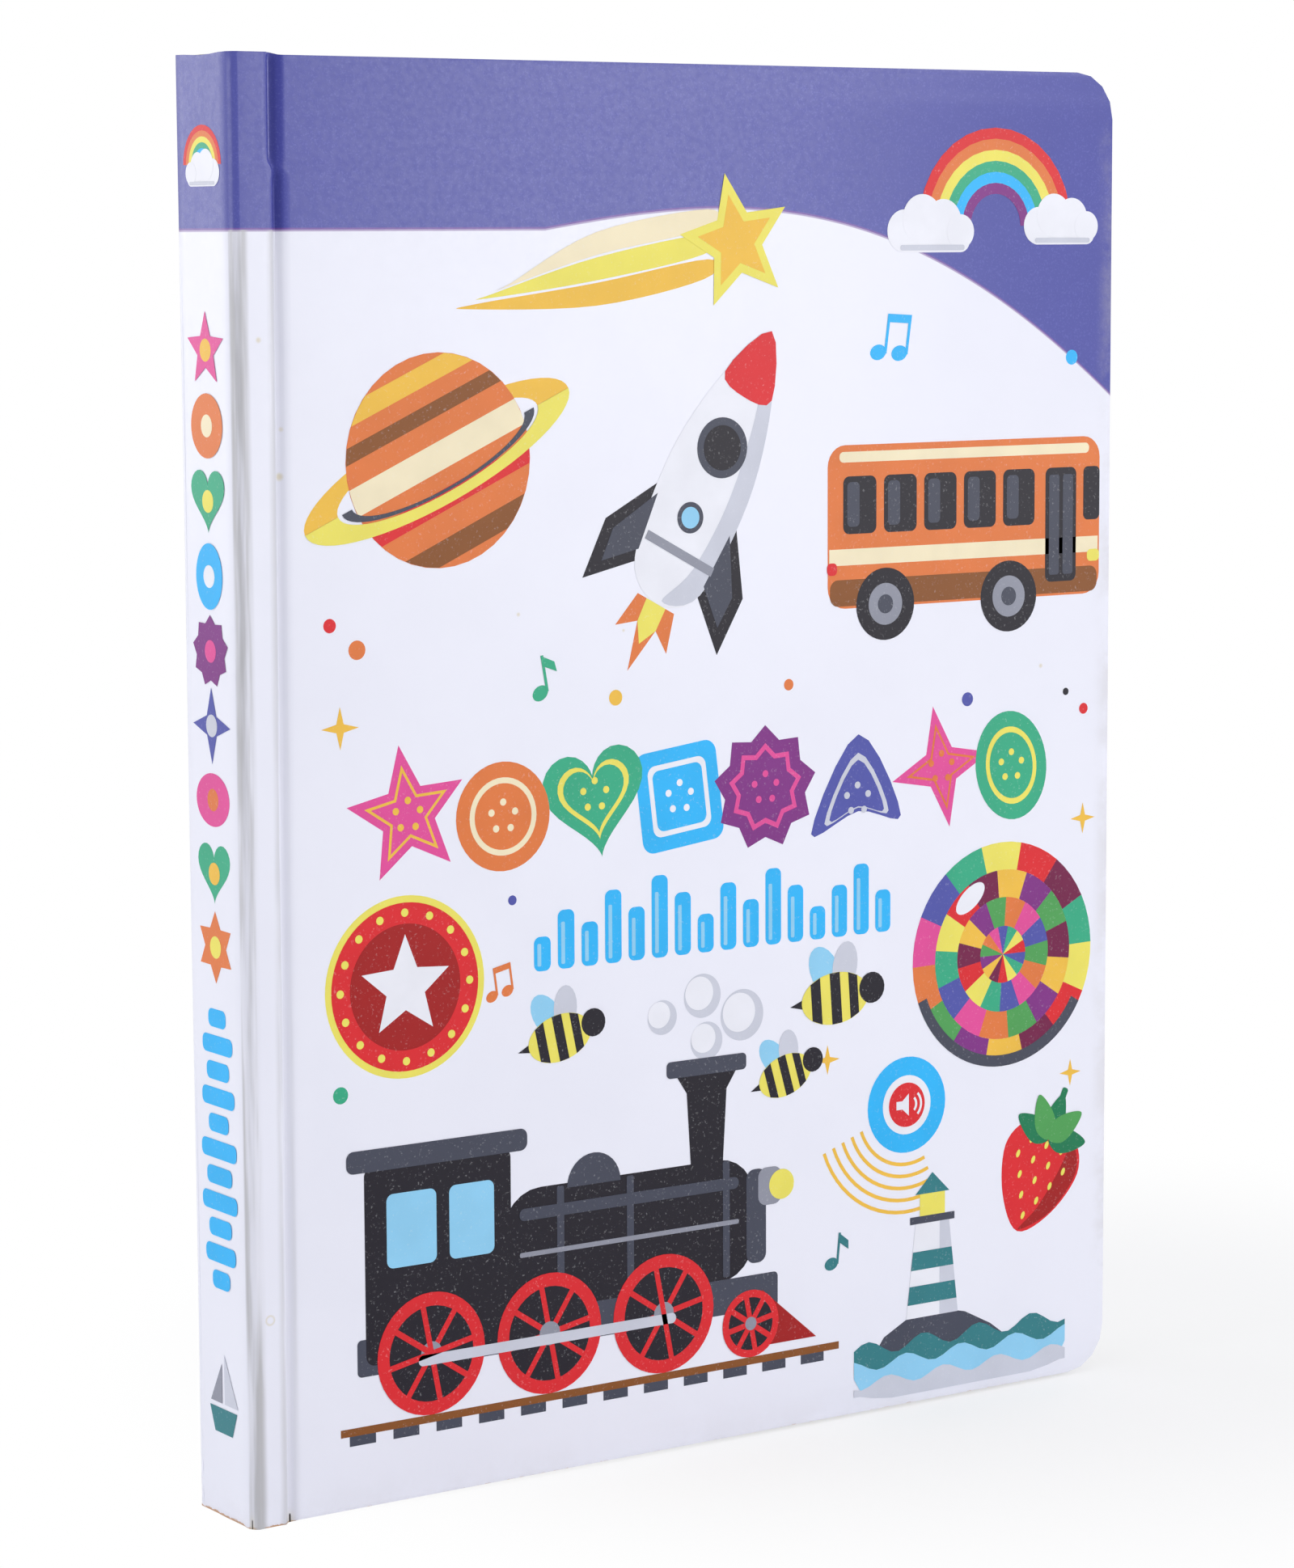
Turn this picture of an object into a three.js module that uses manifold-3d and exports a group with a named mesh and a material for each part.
// A hardback sound book that stands closed on its foot.
// Millimetres, +Z up. Spine towards -X, fore-edge towards +X, front cover towards -Y.
// Shapes are drawn in book coordinates: u from the spine face, d (depth) from the front face and z
// from the foot. One group carries them to the middle of the foot, which is the part's origin.
import * as THREE from 'three';
import { mergeVertices } from 'three/addons/utils/BufferGeometryUtils.js';
import Module from 'manifold-3d';

const wasm = await Module();
wasm.setup();

// Driving dimensions of the binding
const bookHeight = 285;
const bookWidth = 215;
const bookThickness = 23;
const sheet = 0.3; // printed paper that wraps the boards
const glueLine = 0.1; // between a board and the paper round it
const boardThickness = 2.4; // grey board in the covers and the spine
const coverSetBack = 0.5; // the covers end this far short of the spine's head and foot
const cornerRadius = 10; // fore-edge corners of the covers
const turnIn = 14; // printed paper folded in over a board's edge

// Driving dimensions of the hinge
const spineBevel = 1.5; // soft corner between the spine and a hinge strip
const bevelRounding = 0.3; // where the rounded corner's middle lies, as a share of its bevel
const stripWidth = 8.5; // flat hinge strip beside the spine, to the start of the groove
const grooveMiddle = 10.5; // where the paper bends when a cover opens
const grooveWidth = 4;
const grooveDepth = 1.3;
const grooveGap = 0.2; // each paper stops this far from the middle of the groove
const boardSetBack = 0.4; // a board's spine edge lies this far behind the end of its groove

// Driving dimensions of the inside
const lining = 0.2; // paper pasted on the inside of a cover
const liningGlue = 0.05;
const liningMargin = 3; // the linings end this far inside the cover's edges
const square = 3; // the pages are this much smaller than the covers on three sides
const pageCorner = 8;
const leafCount = 7;
const leafThickness = 1.1;
const leafGap = 0.15; // air between two leaves
const leafRoot = 9; // the leaves are glued together this far from the spine
const coverGap = 0.25; // between the pages and a cover's lining
const spineLining = 0.2;
const rearLeaf = 0.5; // last leaf, glued over the sound module's frame
const frameGlue = 0.1;
const rearGap = 0.3; // between the pages and the rear leaf, with room for the flexible lead

// Driving dimensions of the sound module
const moduleWidth = 116;
const moduleHeight = 50;
const moduleMiddleU = 113;
const moduleFoot = 38;
const moduleCorner = 4;
const moduleWall = 1.4;
const moduleInset = 0.3; // the panel lies this far below the back cover's face
const flangeWidth = 4;
const flangeThickness = 1.2;
const windowClearance = 0.3;
const lidThickness = 1;
const lidClearance = 0.05;
const circuitThickness = 1;
const circuitWidth = 60;
const circuitStandOff = 0.6; // from the lid's side of the shell to the circuit board
const ribbonRoom = 8; // left free beside the circuit board for the flexible lead
const circuitClearance = 0.05;

// Driving dimensions of what the panel carries
const speakerRadius = 16;
const speakerDepth = 4.6;
const speakerRim = 1.4;
const speakerEdge = 4; // from the speaker to the shell's wall
const doorToSpeaker = 3.5; // from the battery door's ledge to the speaker
const magnetRadius = 8;
const magnetThickness = 1.6;
const coneWall = 0.4;
const grilleHoleRadius = 1.2;
const grillePitch = 3.6;
const cellRadius = 5.8;
const cellThickness = 5.4;
const cellCount = 3;
const cellPitch = 12.4;
const cellClearance = 0.3;
const cellLip = 0.3; // soft edge of a cell's can
const cellCapHeight = 0.9; // the cap stands this far out of the can
const cellCapStep = 1; // the cap is this much smaller than the can
const bayToFoot = 6; // from the shell's wall to the cells
const contactThickness = 0.25;
const contactWidth = 5;
const contactGap = 0.05;
const doorThickness = 1.2;
const doorLap = 1.6; // ledge that the battery door rests on
const doorClearance = 0.2;
const doorTab = 8; // end of the door that takes its screw
const doorCorner = 1;
const keyRadius = 3.6;
const keyFlange = 1;
const keyFlangeThickness = 0.8;
const keyTravel = 0.8;
const keyPitch = 12;
const keyPlace = 34.6; // from the circuit board's edge to the first key
const keyRise = 3; // the keys lie this far above the circuit board's middle
const keyClearance = 0.25;
const switchSide = 4.4;
const switchHeight = 1.3;
const plungerRadius = 1;
const plungerHeight = 0.4;
const sliderLength = 5;
const sliderWidth = 4;
const sliderTravel = 4;
const sliderPlace = 14.6; // from the circuit board's edge to the slider
const sliderClearance = 0.3;
const screwRadius = 0.9;
const screwHeadRadius = 1.8;
const screwHeadHeight = 0.8;
const screwLength = 4;
const screwClearance = 0.2;
const screwInset = 4.2; // from the module's edges to its screws
const bossRadius = 2.6;
const leadRadius = 0.5;
const leadRise = 1; // a lead's height over the circuit board, beside what it joins
const leadSwing = 2; // how far a lead swings out on its way
const leadOverBoard = 3; // length that lies over the circuit board
const ribbonWidth = 14;
const ribbonThickness = 0.12;
const ribbonStartU = 16;
const runningGap = 0.3;
const bayWall = 1;
const bayFloorThickness = 0.85;
const postRadius = 1.5;
const grilleRings = 3;
const chipRadius = 4.5;
const chipHeight = 1.45;
const chipEdge = 1; // from the chip to the circuit board's edge
const connectorHeight = 1.6;
const connectorPlace = 2; // from the circuit board's edge
const connectorLength = 2;
const connectorSide = 1; // the connector is this much wider than the ribbon on each side
const keyDome = 0.5;
const keyProud = 0.2; // the keys stand this far out of the panel
const sliderSwitchHeight = 2.6;
const sliderGrip = 1.3;

// Colours of the pieces
const finish = {
  print: { color: 0xe8e8f2, roughness: 0.32 },
  greyBoard: { color: 0x9c958c, roughness: 0.9 },
  page: { color: 0xf0efe9, roughness: 0.6 },
  shell: { color: 0xe6e6e4, roughness: 0.45 },
  key: { color: 0x5f64a8, roughness: 0.4 },
  circuit: { color: 0x1f6b3f, roughness: 0.45 },
  dark: { color: 0x1d1d20, roughness: 0.5 },
  steel: { color: 0xb9bcc0, roughness: 0.3, metalness: 1 },
  brass: { color: 0xc8a45a, roughness: 0.35, metalness: 1 },
  redLead: { color: 0xb3262b, roughness: 0.5 },
  blackLead: { color: 0x1b1b1d, roughness: 0.5 },
  ribbon: { color: 0xb87a2c, roughness: 0.4 },
};

const book = new THREE.Group();
book.position.set(-bookWidth / 2, -bookThickness / 2, 0);

function add(name, geometry, look) {
  const material = new THREE.MeshStandardMaterial({ metalness: 0, flatShading: true, ...look });
  const mesh = new THREE.Mesh(geometry, material);
  mesh.name = name;
  book.add(mesh);
}

// Shared vertices merged, and triangles that have closed up to a line left out
function welded(geometry) {
  const bare = geometry.clone();
  bare.deleteAttribute('normal');
  bare.deleteAttribute('uv');
  const merged = mergeVertices(bare, 1e-4);
  const corners = merged.index.array;
  const kept = [];
  for (let i = 0; i < corners.length; i += 3) {
    const [a, b, c] = corners.slice(i, i + 3);
    if (a !== b && b !== c && c !== a) kept.push(a, b, c);
  }
  merged.setIndex(kept);
  return merged;
}

function toSolid(geometry) {
  const merged = welded(geometry);
  return new wasm.Manifold(new wasm.Mesh({
    numProp: 3,
    vertProperties: new Float32Array(merged.attributes.position.array),
    triVerts: new Uint32Array(merged.index.array),
  }));
}

function toGeometry(solid) {
  const mesh = solid.getMesh();
  const geometry = new THREE.BufferGeometry();
  geometry.setAttribute('position', new THREE.BufferAttribute(mesh.vertProperties, 3));
  geometry.setIndex(new THREE.BufferAttribute(mesh.triVerts, 1));
  geometry.computeVertexNormals();
  return geometry;
}

function join(...geometries) {
  return toGeometry(geometries.map(toSolid).reduce((whole, piece) => whole.add(piece)));
}

function cut(body, ...tools) {
  return toGeometry(tools.map(toSolid).reduce((rest, tool) => rest.subtract(tool), toSolid(body)));
}

// A straight block between two corners
function block(u0, u1, d0, d1, z0, z1) {
  const geometry = new THREE.BoxGeometry(u1 - u0, d1 - d0, z1 - z0);
  return geometry.translate((u0 + u1) / 2, (d0 + d1) / 2, (z0 + z1) / 2);
}

// A flat plate seen from the front, with its own radius on the spine side and on the fore-edge side
function plate(u0, u1, z0, z1, d0, d1, spineRadius, foreRadius) {
  const shape = new THREE.Shape();
  shape.moveTo(u0 + spineRadius, z0);
  shape.lineTo(u1 - foreRadius, z0);
  if (foreRadius > 0) shape.absarc(u1 - foreRadius, z0 + foreRadius, foreRadius, -Math.PI / 2, 0);
  shape.lineTo(u1, z1 - foreRadius);
  if (foreRadius > 0) shape.absarc(u1 - foreRadius, z1 - foreRadius, foreRadius, 0, Math.PI / 2);
  shape.lineTo(u0 + spineRadius, z1);
  if (spineRadius > 0) shape.absarc(u0 + spineRadius, z1 - spineRadius, spineRadius, Math.PI / 2, Math.PI);
  shape.lineTo(u0, z0 + spineRadius);
  if (spineRadius > 0) shape.absarc(u0 + spineRadius, z0 + spineRadius, spineRadius, Math.PI, 1.5 * Math.PI);
  const geometry = new THREE.ExtrudeGeometry(shape, { depth: d1 - d0, bevelEnabled: false, curveSegments: 8 });
  return geometry.rotateX(Math.PI / 2).translate(0, d1, 0);
}

// An outline in u and d, drawn from above and raised from z0 to z1
function prism(points, z0, z1) {
  const shape = new THREE.Shape(points.map(([u, d]) => new THREE.Vector2(u, d)));
  const geometry = new THREE.ExtrudeGeometry(shape, { depth: z1 - z0, bevelEnabled: false });
  return geometry.translate(0, 0, z0);
}

// A round bar along the depth
function rod(u, z, radius, d0, d1, sides = 24) {
  return new THREE.CylinderGeometry(radius, radius, d1 - d0, sides).translate(u, (d0 + d1) / 2, z);
}

// A turned piece about the depth direction: its profile lists radius and depth, back to front
function turned(u, z, profile, sides = 32) {
  const outline = profile.map(([radius, d]) => new THREE.Vector2(radius, d)).reverse();
  return new THREE.LatheGeometry(outline, sides).translate(u, 0, z);
}

function mirrored(points) {
  return points.map(([u, d]) => [u, bookThickness - d]).reverse();
}

// The same piece on the back of the book
function flipped(geometry) {
  const mirror = welded(geometry).scale(1, -1, 1).translate(0, bookThickness, 0);
  mirror.setIndex([...mirror.index.array].reverse());
  return mirror;
}

// A round lead through a list of points
function lead(points) {
  const path = new THREE.CatmullRomCurve3(points.map(([u, d, z]) => new THREE.Vector3(u, d, z)));
  const section = new THREE.Shape();
  section.absarc(0, 0, leadRadius, 0, 2 * Math.PI);
  return new THREE.ExtrudeGeometry(section, { steps: 14, curveSegments: 8, extrudePath: path });
}

// Places that several pieces share
const skin = sheet + glueLine; // from a cover's face to its board
const coverThickness = 2 * skin + boardThickness;
const coverStart = grooveMiddle + grooveWidth / 2;
const coverFoot = coverSetBack;
const coverHead = bookHeight - coverSetBack;
const boardStart = coverStart + boardSetBack;
const backInside = bookThickness - coverThickness;
const backLiningInside = backInside - liningGlue - lining;
const pageFront = coverThickness + liningGlue + lining + coverGap;
const pageBack = pageFront + leafCount * leafThickness + (leafCount - 1) * leafGap;
const pageFoot = coverFoot + square;
const pageHead = coverHead - square;
const pageFore = bookWidth - square;
const rearLeafFront = pageBack + rearGap;
const frameFront = rearLeafFront + rearLeaf + frameGlue;
const frameBack = backLiningInside - frameGlue;
const moduleLeft = moduleMiddleU - moduleWidth / 2;
const moduleRight = moduleMiddleU + moduleWidth / 2;
const moduleHead = moduleFoot + moduleHeight;
const moduleMiddleZ = (moduleFoot + moduleHead) / 2;
const panelFace = bookThickness - moduleInset;
const panelInside = panelFace - moduleWall;
const keyFace = panelFace + keyProud;
const lidFront = frameFront + glueLine;
const lidBack = lidFront + lidThickness;
const wallFront = lidBack + lidClearance;
const circuitFront = wallFront + circuitStandOff;
const circuitBack = circuitFront + circuitThickness;

// The binding: spine board, two hinge strips and the paper that wraps them
function hingePaper() {
  const slope = (grooveWidth / 2 - grooveGap) / 2;
  return [
    [stripWidth - slope, 0],
    [stripWidth, 0],
    [stripWidth + slope, grooveDepth],
    [grooveMiddle - grooveGap, grooveDepth],
    [grooveMiddle - grooveGap, grooveDepth + sheet],
    [stripWidth + slope - sheet / 2, grooveDepth + sheet],
    [stripWidth - sheet / 2, sheet],
    [stripWidth - slope, sheet],
  ];
}

function spineOutline(inset) {
  const bevel = spineBevel - inset * (2 - Math.SQRT2);
  const softened = bevel * bevelRounding;
  return [
    [inset + bevel, inset],
    [inset + softened, inset + softened],
    [inset, inset + bevel],
  ];
}

function spineShape(inset, armEnd, depth) {
  const front = [[armEnd, inset], ...spineOutline(inset)];
  const outer = [...front, ...mirrored(front)];
  const inner = [
    [armEnd, bookThickness - depth],
    [depth, bookThickness - depth],
    [depth, depth],
    [armEnd, depth],
  ];
  return [...outer, ...inner].reverse();
}

function addBinding() {
  const boardEnd = coverThickness - skin;
  const armEnd = stripWidth - sheet;
  const boardFoot = skin;
  const boardHead = bookHeight - skin;
  const spineBoardSide = skin + spineBevel;
  const backSide = bookThickness - spineBoardSide;
  add('spine_board', block(skin, boardEnd, spineBoardSide, backSide, boardFoot, boardHead), finish.greyBoard);
  const stripStart = boardEnd + glueLine;
  const strip = block(stripStart, armEnd, skin, boardEnd, boardFoot, boardHead);
  add('hinge_strip_front', strip, finish.greyBoard);
  const backStrip = block(stripStart, armEnd, bookThickness - boardEnd, bookThickness - skin, boardFoot, boardHead);
  add('hinge_strip_back', backStrip, finish.greyBoard);
  const outside = prism(spineShape(0, armEnd, coverThickness), 0, bookHeight);
  const cavity = prism(spineShape(sheet, stripWidth, coverThickness - sheet), sheet, bookHeight - sheet);
  const inside = block(sheet + skin, stripWidth, sheet + skin, bookThickness - sheet - skin, turnIn,
    bookHeight - turnIn);
  const grooves = [
    prism([...hingePaper()].reverse(), 0, bookHeight),
    prism([...mirrored(hingePaper())].reverse(), 0, bookHeight),
  ];
  add('spine_wrap', join(cut(outside, cavity, inside), ...grooves), finish.print);
  const liningStart = coverThickness + liningGlue;
  const liningSide = coverThickness + liningGlue;
  add('spine_lining', block(liningStart, liningStart + spineLining, liningSide, bookThickness - liningSide,
    pageFoot, pageHead), finish.page);
}

// The pages: board leaves glued together at the spine, and the stub that fills the spine behind them
const pageStart = coverThickness + liningGlue + spineLining + liningGlue;

function addPages() {
  const whole = plate(pageStart, pageFore, pageFoot, pageHead, pageFront, pageBack, 0, pageCorner);
  const slots = [];
  for (let i = 1; i < leafCount; i += 1) {
    const d = pageFront + i * leafThickness + (i - 1) * leafGap;
    slots.push(block(pageStart + leafRoot, bookWidth, d, d + leafGap, 0, bookHeight));
  }
  add('page_block', cut(whole, ...slots), finish.page);
  const stubEnd = grooveMiddle - grooveGap;
  const stubBack = backInside - liningGlue;
  add('spine_stub', block(pageStart, stubEnd, pageBack + liningGlue, stubBack, pageFoot, pageHead),
    finish.greyBoard);
}

// A cover: board, printed paper turned in over three edges, and the lining pasted over the turn-ins
function addCover(name, fromBack, holes) {
  const turn = (geometry) => (fromBack ? flipped(geometry) : geometry);
  const opened = (geometry) => (holes.length > 0 ? cut(geometry, ...holes) : geometry);
  const board = plate(boardStart, bookWidth - skin, coverFoot + skin, coverHead - skin, skin,
    skin + boardThickness, 0, cornerRadius - skin);
  add(`${name}_board`, opened(turn(board)), finish.greyBoard);

  const outside = plate(coverStart, bookWidth, coverFoot, coverHead, 0, coverThickness, 0, cornerRadius);
  const cavity = plate(coverStart - sheet, bookWidth - sheet, coverFoot + sheet, coverHead - sheet, sheet,
    coverThickness - sheet, 0, cornerRadius - sheet);
  const inside = block(coverStart - sheet, bookWidth - turnIn, sheet + skin, coverThickness + skin,
    coverFoot + turnIn, coverHead - turnIn);
  const slope = (grooveWidth / 2 - grooveGap) / 2;
  const paper = prism([
    [grooveMiddle + grooveGap, grooveDepth],
    [coverStart - slope, grooveDepth],
    [coverStart, 0],
    [coverStart + slope, 0],
    [coverStart + slope, sheet],
    [coverStart + sheet / 2, sheet],
    [coverStart - slope + sheet / 2, grooveDepth + sheet],
    [grooveMiddle + grooveGap, grooveDepth + sheet],
  ], coverFoot, coverHead);
  const wrap = join(cut(outside, cavity, inside), paper);
  add(`${name}_wrap`, opened(turn(wrap)), finish.print);

  const pasted = plate(boardStart, bookWidth - liningMargin, coverFoot + liningMargin, coverHead - liningMargin,
    coverThickness + liningGlue, coverThickness + liningGlue + lining, 0, cornerRadius - liningMargin);
  add(`${name}_lining`, opened(turn(pasted)), finish.page);
}

function modulePlate(grow, d0, d1) {
  const corner = moduleCorner + grow;
  return plate(moduleLeft - grow, moduleRight + grow, moduleFoot - grow, moduleHead + grow, d0, d1, corner,
    corner);
}

// Places on the panel
const speakerU = moduleRight - moduleWall - speakerRadius - speakerEdge;
const speakerZ = moduleMiddleZ;
const bayHalfWidth = ((cellCount - 1) * cellPitch) / 2 + cellRadius + cellClearance;
const bayHalfHeight = cellRadius + cellClearance;
const doorReach = bayHalfWidth + bayWall + doorTab; // from the bay's middle to the end of the door's tab
const bayMiddleU = speakerU - speakerRadius - doorToSpeaker - doorLap - doorReach;
const bayMiddleZ = moduleFoot + moduleWall + cellRadius + bayToFoot;
const bayFloor = wallFront + bayFloorThickness;
const cellFront = bayFloor + contactThickness + 2 * contactGap;
const cellBack = cellFront + cellThickness;
const doorInside = panelFace - doorThickness;
const cellUs = Array.from({ length: cellCount }, (_, i) => bayMiddleU + (i - (cellCount - 1) / 2) * cellPitch);
const doorScrewU = bayMiddleU + doorReach - doorTab / 2;
const circuitLeft = moduleLeft + moduleWall + ribbonRoom;
const circuitRight = circuitLeft + circuitWidth;
const circuitFoot = bayMiddleZ + bayHalfHeight + bayWall + runningGap;
const circuitHead = moduleHead - moduleWall - runningGap;
const circuitMiddleZ = (circuitFoot + circuitHead) / 2;
const onCircuit = circuitBack + circuitClearance;
const keyZ = circuitMiddleZ + keyRise;
const keyUs = [circuitLeft + keyPlace, circuitLeft + keyPlace + keyPitch];
const sliderU = circuitLeft + sliderPlace;
const flangeBack = panelInside - runningGap;
const screwPlaces = [
  [moduleLeft + screwInset, moduleFoot + screwInset],
  [moduleRight - screwInset, moduleFoot + screwInset],
  [moduleLeft + screwInset, moduleHead - screwInset],
  [moduleRight - screwInset, moduleHead - screwInset],
];
const ribbonPassage = [moduleLeft + moduleWall + runningGap, circuitLeft - runningGap];

// The frame that holds the sound module inside the back cover, and the leaf glued over it
function ribbonSlot() {
  const half = ribbonWidth / 2 + runningGap;
  return block(...ribbonPassage, rearLeafFront - rearLeaf, circuitFront, circuitMiddleZ - half,
    circuitMiddleZ + half);
}

function addModuleFrame() {
  const frame = plate(boardStart, pageFore, pageFoot, pageHead, frameFront, frameBack, 0, pageCorner);
  const pocket = modulePlate(flangeWidth + windowClearance, frameFront - rearLeaf, frameBack + rearLeaf);
  add('module_frame', cut(frame, pocket), finish.greyBoard);
  const leaf = plate(boardStart, pageFore, pageFoot, pageHead, rearLeafFront, rearLeafFront + rearLeaf,
    0, pageCorner);
  add('rear_leaf', cut(leaf, ribbonSlot()), finish.page);
}

// The module's shell: battery bay, speaker grille, key holes and screw bosses in one moulding
function bay(grow, d0, d1) {
  return block(bayMiddleU - bayHalfWidth - grow, bayMiddleU + bayHalfWidth + grow, d0, d1,
    bayMiddleZ - bayHalfHeight - grow, bayMiddleZ + bayHalfHeight + grow);
}

function doorPlate(grow, d0, d1) {
  const u0 = bayMiddleU - bayHalfWidth - doorLap;
  const u1 = bayMiddleU + doorReach;
  const half = bayHalfHeight + doorLap;
  const corner = doorCorner + grow;
  return plate(u0 - grow, u1 + grow, bayMiddleZ - half - grow, bayMiddleZ + half + grow, d0, d1, corner, corner);
}

function grilleHoles() {
  const holes = [];
  for (let row = -grilleRings; row <= grilleRings; row += 1) {
    for (let column = -grilleRings; column <= grilleRings; column += 1) {
      const u = (column + row / 2) * grillePitch;
      const z = (row * grillePitch * Math.sqrt(3)) / 2;
      const inReach = Math.hypot(u, z) < (grilleRings + 0.1) * grillePitch;
      if (inReach) holes.push(through(speakerU + u, speakerZ + z, grilleHoleRadius, 12));
    }
  }
  return holes;
}

// A round hole through the panel
function through(u, z, radius, sides) {
  return rod(u, z, radius, panelInside - moduleWall, panelFace + moduleWall, sides);
}

function sliderSlot() {
  const half = sliderWidth / 2 + sliderClearance;
  return block(sliderU - sliderLength / 2 - sliderClearance,
    sliderU + sliderLength / 2 + sliderTravel + sliderClearance,
    panelInside - moduleWall, panelFace + moduleWall, keyZ - half, keyZ + half);
}

function addModuleShell() {
  const flange = modulePlate(flangeWidth, frameBack - flangeThickness, frameBack);
  const outer = modulePlate(0, wallFront, panelFace);
  const hollow = modulePlate(-moduleWall, wallFront - moduleWall, panelInside);
  const root = panelInside + moduleWall / 2;
  const raised = [
    ...screwPlaces.map(([u, z]) => rod(u, z, bossRadius, wallFront, root)),
    rod(doorScrewU, bayMiddleZ, bossRadius, bayFloor, root),
    rod(circuitLeft + bossRadius, circuitHead - bossRadius, postRadius, onCircuit, root),
    rod(circuitRight - bossRadius, circuitHead - bossRadius, postRadius, onCircuit, root),
    bay(bayWall, wallFront, root),
    doorPlate(doorLap, doorInside - doorThickness, root),
  ];
  const openings = [
    doorPlate(doorClearance, doorInside - liningGlue, panelFace + moduleWall),
    bay(0, bayFloor, panelFace),
    rod(doorScrewU, bayMiddleZ, screwRadius + screwClearance, doorInside - screwLength, panelFace),
    ...grilleHoles(),
    ...keyUs.map((u) => through(u, keyZ, keyRadius + keyClearance, 24)),
    sliderSlot(),
    ...screwPlaces.map(([u, z]) => rod(u, z, screwRadius + screwClearance, wallFront - moduleWall,
      wallFront + screwLength)),
  ];
  add('module_shell', cut(join(cut(join(outer, flange), hollow), ...raised), ...openings), finish.shell);
}

// The lid closes the module towards the pages, and four screws hold it
function addModuleLid() {
  const headBack = lidFront + screwHeadHeight;
  const holes = screwPlaces.flatMap(([u, z]) => [
    rod(u, z, screwRadius + screwClearance, lidFront - lidThickness, lidBack + lidThickness),
    rod(u, z, screwHeadRadius + screwClearance, lidFront - lidThickness, headBack),
  ]);
  add('module_lid', cut(modulePlate(0, lidFront, lidBack), ...holes, ribbonSlot()), finish.shell);
  screwPlaces.forEach(([u, z], i) => {
    const head = rod(u, z, screwHeadRadius, lidFront + liningGlue, headBack - liningGlue);
    const shank = rod(u, z, screwRadius, lidFront + screwHeadHeight / 2, headBack + screwLength - screwRadius, 12);
    add(`lid_screw_${i + 1}`, join(head, shank), finish.steel);
  });
}

// The circuit board and what is soldered to it
function addElectronics() {
  add('circuit_board', block(circuitLeft, circuitRight, circuitFront, circuitBack, circuitFoot, circuitHead),
    finish.circuit);
  const chipProfile = [
    [0, chipHeight], [0.35 * chipRadius, 0.95 * chipHeight], [0.7 * chipRadius, 0.8 * chipHeight],
    [0.93 * chipRadius, 0.45 * chipHeight], [chipRadius, 0], [0, 0],
  ].map(([radius, rise]) => [radius, onCircuit + rise]);
  add('sound_chip', turned(circuitRight - chipRadius - chipEdge, circuitMiddleZ, chipProfile, 24), finish.dark);
  const half = ribbonWidth / 2 + connectorSide;
  const connectorU = circuitLeft + connectorPlace;
  add('ribbon_connector', block(connectorU, connectorU + connectorLength, onCircuit, onCircuit + connectorHeight,
    circuitMiddleZ - half, circuitMiddleZ + half), finish.page);
  const ribbonInside = onCircuit + connectorHeight / 2;
  const ribbonOutside = pageBack + (rearGap - ribbonThickness) / 2;
  const route = [
    [ribbonStartU, ribbonOutside],
    [ribbonPassage[0] + runningGap, ribbonOutside],
    [ribbonPassage[1] - runningGap, ribbonInside],
    [connectorU - glueLine, ribbonInside],
  ];
  const underside = [...route].reverse().map(([u, d]) => [u, d + ribbonThickness]);
  add('switch_ribbon', prism([...route, ...underside], circuitMiddleZ - ribbonWidth / 2,
    circuitMiddleZ + ribbonWidth / 2), finish.ribbon);
}

// Volume keys on their switches, and the power slider on its own
function addControls() {
  const switchBack = onCircuit + switchHeight;
  const names = ['volume_down', 'volume_up'];
  keyUs.forEach((u, i) => {
    const half = switchSide / 2;
    const body = block(u - half, u + half, onCircuit, switchBack, keyZ - half, keyZ + half);
    const plunger = rod(u, keyZ, plungerRadius, onCircuit + switchHeight / 2, switchBack + plungerHeight, 16);
    add(`${names[i]}_switch`, join(body, plunger), finish.dark);
    const keyFront = switchBack + plungerHeight + keyTravel + 2 * circuitClearance;
    const cap = turned(u, keyZ, [
      [0, keyFace], [keyRadius - keyDome, keyFace], [keyRadius, keyFace - keyDome], [keyRadius, flangeBack],
      [keyRadius + keyFlange, flangeBack], [keyRadius + keyFlange, flangeBack - keyFlangeThickness],
      [plungerRadius * 2, flangeBack - keyFlangeThickness], [plungerRadius * 2, keyFront], [0, keyFront],
    ], 28);
    add(`${names[i]}_key`, cap, finish.key);
  });
  const half = sliderWidth / 2;
  const switchEnd = sliderU + sliderLength / 2 + sliderTravel;
  add('power_switch', block(sliderU - sliderLength / 2, switchEnd, onCircuit, onCircuit + sliderSwitchHeight,
    keyZ - half, keyZ + half), finish.steel);
  const knob = block(sliderU - sliderLength / 2, sliderU + sliderLength / 2,
    onCircuit + sliderSwitchHeight + glueLine, keyFace, keyZ - half, keyZ + half);
  const base = block(sliderU - sliderLength / 2 - keyFlange, sliderU + sliderLength / 2 + keyFlange,
    flangeBack - keyFlangeThickness, flangeBack, keyZ - half - keyFlange, keyZ + half + keyFlange);
  const grips = [-1, 0, 1].map((i) => block(sliderU + i * sliderGrip - sliderGrip / 4,
    sliderU + i * sliderGrip + sliderGrip / 4, keyFace - sliderGrip / 3, panelFace + moduleWall,
    keyZ - sliderWidth, keyZ + sliderWidth));
  add('power_slider', cut(join(knob, base), ...grips), finish.key);
}

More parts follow.
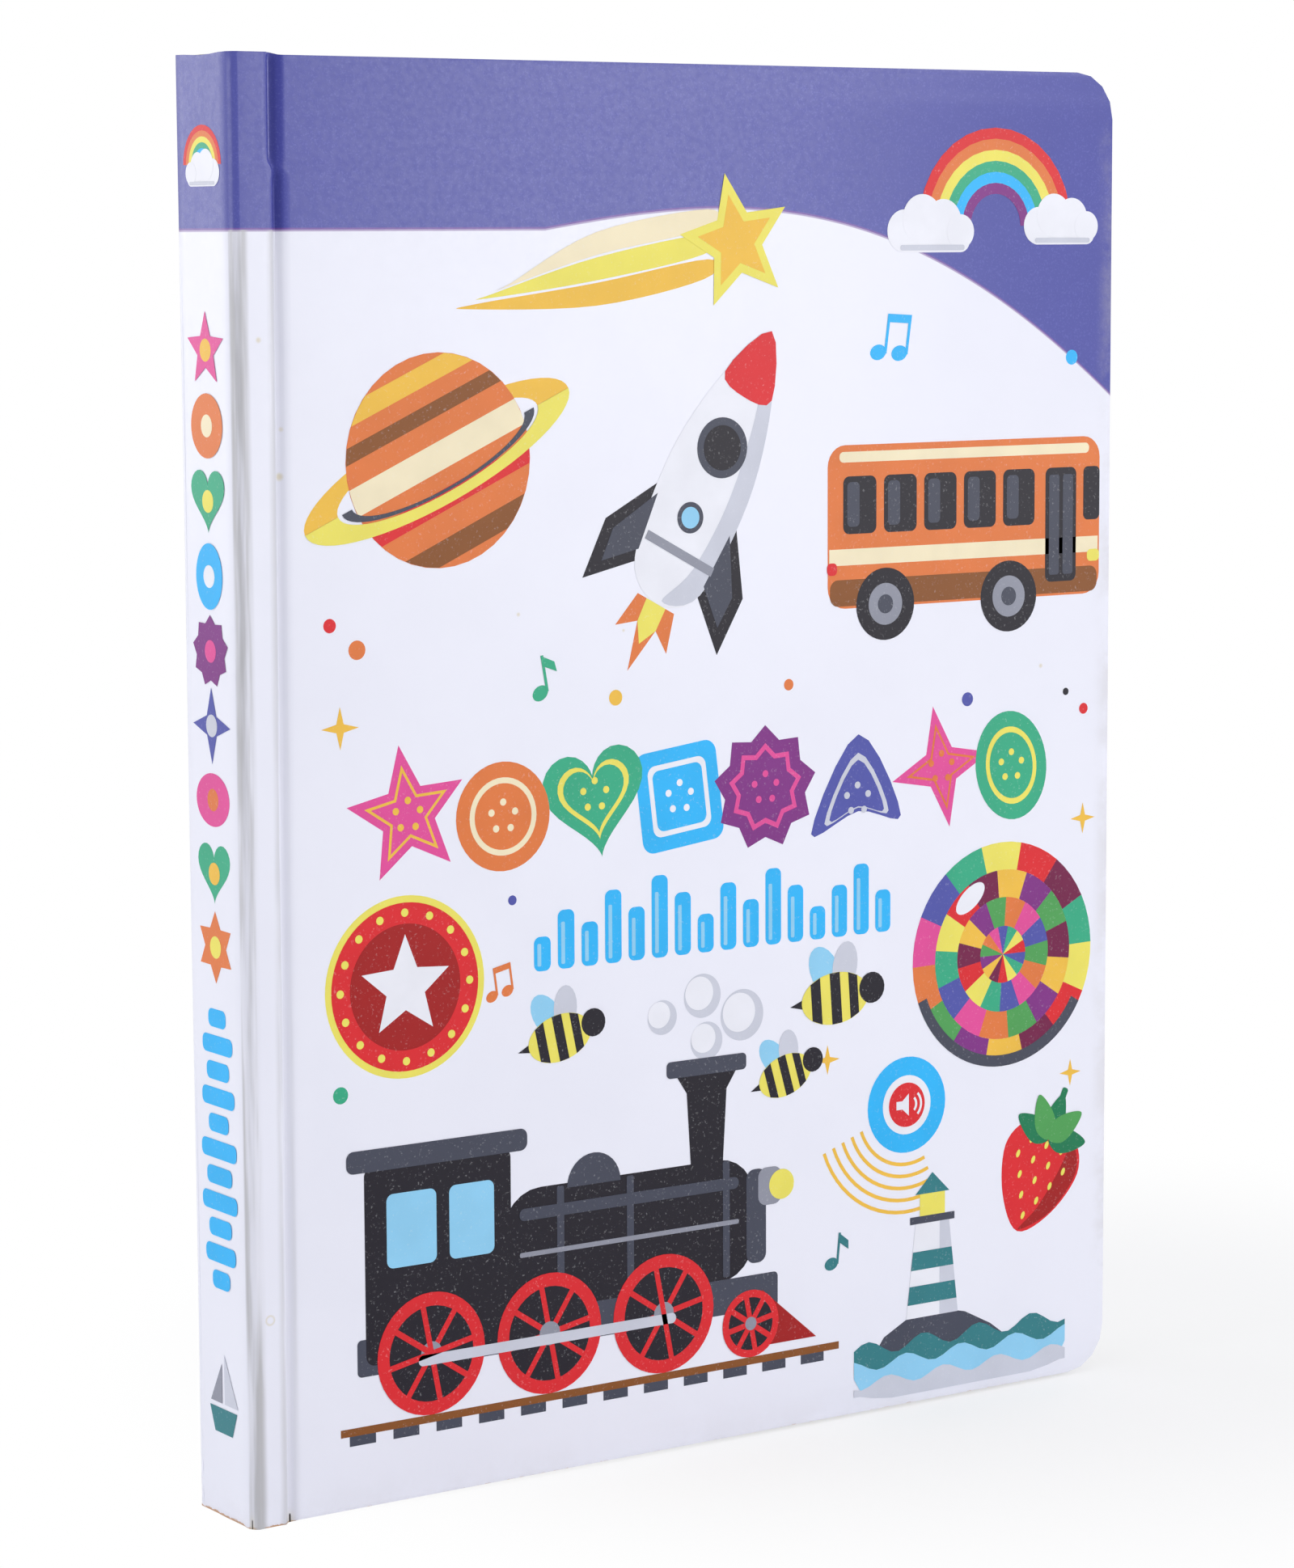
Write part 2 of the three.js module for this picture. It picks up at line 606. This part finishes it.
// The speaker faces the grille: a thin basket, its paper cone and the magnet
function addSpeaker() {
  const rimBack = panelInside - glueLine;
  const rimFront = rimBack - speakerRim;
  const basketFront = rimBack - speakerDepth;
  const neck = magnetRadius + speakerRim;
  const basket = [
    [speakerRadius, rimBack], [speakerRadius, rimFront], [neck, basketFront], [0, basketFront],
    [0, basketFront + coneWall], [neck - coneWall, basketFront + coneWall],
    [speakerRadius - speakerRim, rimFront + coneWall], [speakerRadius - speakerRim, rimBack],
  ];
  add('speaker_basket', turned(speakerU, speakerZ, [...basket, basket[0]]), finish.steel);
  const coneFront = basketFront + coneWall + glueLine;
  const coneBack = rimBack - speakerRim / 4;
  const coneRadius = speakerRadius - speakerRim - glueLine;
  const cone = [
    [0, coneFront + coneWall], [magnetRadius / 2, coneFront + coneWall], [coneRadius - coneWall, coneBack],
    [coneRadius, coneBack], [coneRadius, coneBack - coneWall], [magnetRadius / 2 + coneWall, coneFront],
    [0, coneFront],
  ];
  add('speaker_cone', turned(speakerU, speakerZ, cone), finish.dark);
  add('speaker_magnet', rod(speakerU, speakerZ, magnetRadius, basketFront - circuitClearance - magnetThickness,
    basketFront - circuitClearance, 32), finish.steel);
}

// Three button cells side by side, joined by contact strips under them and on the door
function addBattery() {
  cellUs.forEach((u, i) => {
    const capRadius = cellRadius - cellCapStep;
    const capBack = cellFront + cellCapHeight;
    const cell = turned(u, bayMiddleZ, [
      [0, cellBack], [cellRadius - cellLip, cellBack], [cellRadius, cellBack - cellLip],
      [cellRadius, capBack + cellLip], [capRadius, capBack], [capRadius, cellFront], [0, cellFront],
    ], 28);
    add(`button_cell_${i + 1}`, cell, finish.steel);
  });
  const half = contactWidth / 2;
  const reach = contactWidth / 2;
  const strip = (first, last, d) => block(cellUs[first] - reach, cellUs[last] + reach, d, d + contactThickness,
    bayMiddleZ - half, bayMiddleZ + half);
  const under = bayFloor + contactGap;
  const over = cellBack + contactGap;
  add('contact_strip_1', strip(0, 1, under), finish.brass);
  add('contact_strip_2', strip(2, 2, under), finish.brass);
  add('contact_strip_3', strip(0, 0, over), finish.brass);
  add('contact_strip_4', strip(1, 2, over), finish.brass);
  const screwHeadFront = panelFace - screwHeadHeight;
  const door = doorPlate(0, doorInside, panelFace);
  const holes = [
    rod(doorScrewU, bayMiddleZ, screwRadius + screwClearance, doorInside - doorThickness, panelFace + doorThickness),
    rod(doorScrewU, bayMiddleZ, screwHeadRadius + screwClearance, screwHeadFront, panelFace + doorThickness),
  ];
  add('battery_door', cut(door, ...holes), finish.shell);
  const head = rod(doorScrewU, bayMiddleZ, screwHeadRadius, screwHeadFront + liningGlue, panelFace);
  const shank = rod(doorScrewU, bayMiddleZ, screwRadius, doorInside - screwLength + screwRadius,
    panelFace - screwHeadHeight / 2, 12);
  const slot = (u, z) => block(doorScrewU - u, doorScrewU + u, panelFace - screwHeadHeight / 2,
    panelFace + screwHeadHeight, bayMiddleZ - z, bayMiddleZ + z);
  const crossLong = 0.75 * screwHeadRadius;
  const crossWide = 0.2 * screwHeadRadius;
  const cross = [slot(crossLong, crossWide), slot(crossWide, crossLong)];
  add('door_screw', cut(join(head, shank), ...cross), finish.steel);
}

// Four thin leads: two from the battery and two to the speaker
function addLeads() {
  const overCircuit = onCircuit + leadRadius;
  const bayLeft = bayMiddleU - bayHalfWidth - bayWall - runningGap - leadRadius;
  const batteryLead = (step) => lead([
    [bayLeft, overCircuit + leadRise, bayMiddleZ - leadSwing - step],
    [bayLeft - leadSwing - step, overCircuit + 1.5 * leadRise, bayMiddleZ + leadSwing - step],
    [bayLeft - 1.5 * leadSwing - step, overCircuit + leadRise, circuitFoot - leadSwing],
    [bayLeft - 1.5 * leadSwing - step, overCircuit, circuitFoot + leadOverBoard],
  ]);
  add('battery_lead_positive', batteryLead(0), finish.redLead);
  add('battery_lead_negative', batteryLead(3 * leadRadius), finish.blackLead);
  const basketLeft = speakerU - speakerRadius - runningGap - leadRadius;
  const speakerLead = (step) => lead([
    [basketLeft, panelInside - speakerRim, speakerZ + step],
    [basketLeft - leadSwing, overCircuit + 2 * leadRise, speakerZ + leadRise + step],
    [circuitRight - leadRise, overCircuit + 0.2 * leadRise, speakerZ + leadRise + step],
    [circuitRight - leadRise - leadOverBoard, overCircuit, speakerZ + leadRise + step],
  ]);
  add('speaker_lead_positive', speakerLead(0), finish.redLead);
  add('speaker_lead_negative', speakerLead(-3 * leadRadius), finish.blackLead);
}

const window = modulePlate(windowClearance, backLiningInside - lining, bookThickness + sheet);

addBinding();
addPages();
addCover('front', false, []);
addCover('back', true, [window]);
addModuleFrame();
addModuleShell();
addModuleLid();
addElectronics();
addControls();
addSpeaker();
addBattery();
addLeads();

export default book;
